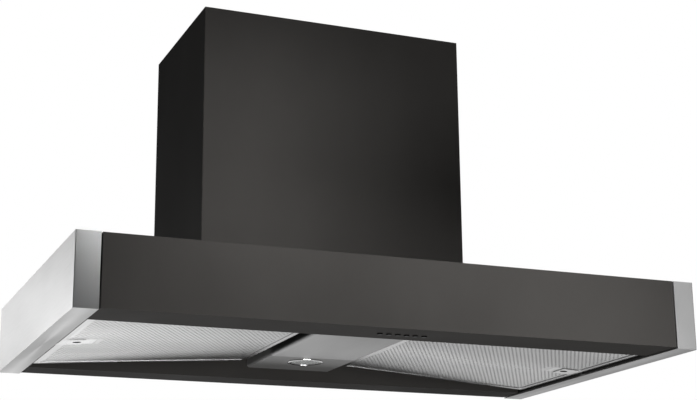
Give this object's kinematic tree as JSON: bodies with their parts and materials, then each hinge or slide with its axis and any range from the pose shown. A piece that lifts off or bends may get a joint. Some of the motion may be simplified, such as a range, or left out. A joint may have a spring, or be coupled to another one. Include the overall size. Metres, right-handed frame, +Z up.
{
  "type": "range hood",
  "caption": "Wall chimney range hood: flat dark canopy between brushed steel ends, hinged grease filters, lamp tray, push buttons, centrifugal blower and damper.",
  "frame": {"origin": "centre of the canopy's underside, on the plane that the steel ends' lowest edges share", "axes": "+X to the right seen from the front, +Y towards the wall, +Z up"},
  "size_m": [1, 0.585, 0.59],
  "materials": {
    "dark_coat": "smooth satin powder coat, warm anthracite",
    "tray_steel": "fine brushed, light grey",
    "lamp_grey": "satin mid grey coat",
    "brushed_steel": "brushed stainless steel",
    "dark_rail": "matt black coat",
    "filter_steel": "bright folded stainless rim",
    "filter_sheet": "finely perforated stainless sheet",
    "filter_mesh": "layered expanded mesh",
    "latch_steel": "bright steel plate",
    "slider_black": "matt black",
    "zinc_steel": "galvanised sheet",
    "black_plastic": "moulded, matt",
    "wheel_plastic": "moulded, satin",
    "motor_metal": "bare motor can",
    "shaft_steel": "ground steel",
    "collar_plastic": "moulded, satin",
    "flap_plastic": "moulded, satin",
    "lamp_chrome": "polished",
    "lamp_glass": "frosted lens",
    "lamp_metal": "spun reflector",
    "board_green": "lacquered board",
    "switch_plastic": "moulded",
    "terminal_white": "moulded, off-white",
    "capacitor_metal": "drawn can",
    "button_black": "smooth black",
    "screw_steel": "zinc plated"
  },
  "bodies": {
    "hood": {"front_lip": "dark_coat", "front_panel": "dark_coat", "rear_lip": "dark_coat", "rear_panel": "dark_coat", "top_panel": "dark_coat", "centre_tray": "tray_steel", "lamp_panel": "lamp_grey", "chimney_cover": "dark_coat", "chimney_bracket": "zinc_steel", "motor_box": "zinc_steel", "blower_housing": "black_plastic", "motor_bracket": "zinc_steel", "motor": "motor_metal", "duct_collar": "collar_plastic", "damper_pins": "shaft_steel", "lamp_bezel": "lamp_chrome", "lamp_lens": "lamp_glass", "lamp_body": "lamp_metal", "control_housing": "black_plastic", "control_board": "board_green", "button_switches": "switch_plastic", "terminal_box": "black_plastic", "terminal_block": "terminal_white", "cable_gland": "black_plastic", "motor_capacitor": "capacitor_metal", "lamp_transformer": "terminal_white", "motor_box_screws": "screw_steel", "collar_screws": "screw_steel", "motor_bracket_screws": "screw_steel", "left_end_frame": "brushed_steel", "left_side_rail": "dark_rail", "right_end_frame": "brushed_steel", "right_side_rail": "dark_rail"},
    "impeller": {"impeller": "wheel_plastic", "motor_shaft": "shaft_steel"},
    "front_damper": {"front_damper_flap": "flap_plastic"},
    "rear_damper": {"rear_damper_flap": "flap_plastic"},
    "left_filter": {"left_filter_frame": "filter_steel", "left_filter_sheet": "filter_sheet", "left_filter_mesh": "filter_mesh", "left_filter_pins": "shaft_steel", "left_latch_housing": "latch_steel"},
    "left_latch": {"left_latch_slider": "slider_black"},
    "right_filter": {"right_filter_frame": "filter_steel", "right_filter_sheet": "filter_sheet", "right_filter_mesh": "filter_mesh", "right_filter_pins": "shaft_steel", "right_latch_housing": "latch_steel"},
    "right_latch": {"right_latch_slider": "slider_black"},
    "button_1": {"push_button_1": "button_black"},
    "button_2": {"push_button_2": "button_black"},
    "button_3": {"push_button_3": "button_black"},
    "button_4": {"push_button_4": "button_black"},
    "button_5": {"push_button_5": "button_black"},
    "button_6": {"push_button_6": "button_black"}
  },
  "joints": [
    {"name": "impeller_spin", "type": "hinge", "parent": "hood", "child": "impeller", "pos_m": [0, 0.148, 0.245], "axis": [1, 0, 0], "continuous": true},
    {"name": "front_damper_swing", "type": "hinge", "parent": "hood", "child": "front_damper", "pos_m": [0, 0.191, 0.409], "axis": [-1, 0, 0], "range_deg": [0, 78]},
    {"name": "rear_damper_swing", "type": "hinge", "parent": "hood", "child": "rear_damper", "pos_m": [0, 0.199, 0.409], "axis": [1, 0, 0], "range_deg": [0, 78]},
    {"name": "left_filter_swing", "type": "hinge", "parent": "hood", "child": "left_filter", "pos_m": [-0.09433, 0, 0.03472], "axis": [0, -1, 0], "range_deg": [0, 85]},
    {"name": "left_latch_slide", "type": "slide", "parent": "left_filter", "child": "left_latch", "axis": [0.9977, 0, 0.0678], "range_m": [0, 0.008], "stiffness_N_per_m": 400, "springref_m": -0.004},
    {"name": "right_filter_swing", "type": "hinge", "parent": "hood", "child": "right_filter", "pos_m": [0.09433, 0, 0.03472], "axis": [0, 1, 0], "range_deg": [0, 85]},
    {"name": "right_latch_slide", "type": "slide", "parent": "right_filter", "child": "right_latch", "axis": [-0.9977, 0, 0.0678], "range_m": [0, 0.008], "stiffness_N_per_m": 400, "springref_m": -0.004},
    {"name": "button_1_press", "type": "slide", "parent": "hood", "child": "button_1", "axis": [0, 0, 1], "range_m": [0, 0.0025], "stiffness_N_per_m": 600, "springref_m": -0.001},
    {"name": "button_2_press", "type": "slide", "parent": "hood", "child": "button_2", "axis": [0, 0, 1], "range_m": [0, 0.0025], "stiffness_N_per_m": 600, "springref_m": -0.001},
    {"name": "button_3_press", "type": "slide", "parent": "hood", "child": "button_3", "axis": [0, 0, 1], "range_m": [0, 0.0025], "stiffness_N_per_m": 600, "springref_m": -0.001},
    {"name": "button_4_press", "type": "slide", "parent": "hood", "child": "button_4", "axis": [0, 0, 1], "range_m": [0, 0.0025], "stiffness_N_per_m": 600, "springref_m": -0.001},
    {"name": "button_5_press", "type": "slide", "parent": "hood", "child": "button_5", "axis": [0, 0, 1], "range_m": [0, 0.0025], "stiffness_N_per_m": 600, "springref_m": -0.001},
    {"name": "button_6_press", "type": "slide", "parent": "hood", "child": "button_6", "axis": [0, 0, 1], "range_m": [0, 0.0025], "stiffness_N_per_m": 600, "springref_m": -0.001}
  ]
}
